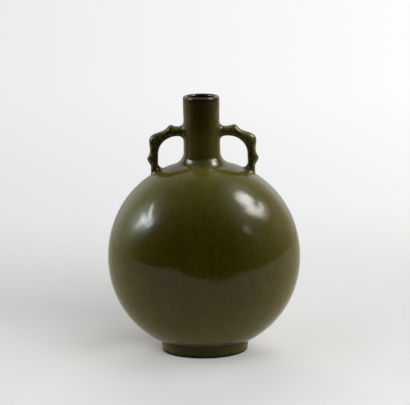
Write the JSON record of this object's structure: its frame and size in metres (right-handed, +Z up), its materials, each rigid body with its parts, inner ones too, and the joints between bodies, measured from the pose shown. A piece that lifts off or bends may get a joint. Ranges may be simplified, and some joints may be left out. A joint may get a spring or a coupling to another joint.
{
  "type": "moon flask vase",
  "caption": "Flattened round ceramic flask with a tall open neck, lobed loop handles from neck to shoulder and a low oval foot ring; holds water or flower stems.",
  "frame": {"origin": "on the table plane, under the middle of the foot ring", "axes": "+Z up along the neck, +X towards the right handle, -Y out of the front face of the body, so Y is the flattened depth"},
  "size_m": [0.2234, 0.1788, 0.3],
  "materials": {
    "body_front": "gloss",
    "body_back": "gloss",
    "neck": "gloss",
    "foot_ring": "satin",
    "handle_left": "gloss",
    "handle_right": "gloss"
  },
  "bodies": {
    "root": {"body_front": "body_front", "body_back": "body_back", "neck": "neck", "foot_ring": "foot_ring", "handle_left": "handle_left", "handle_right": "handle_right"}
  },
  "joints": []
}
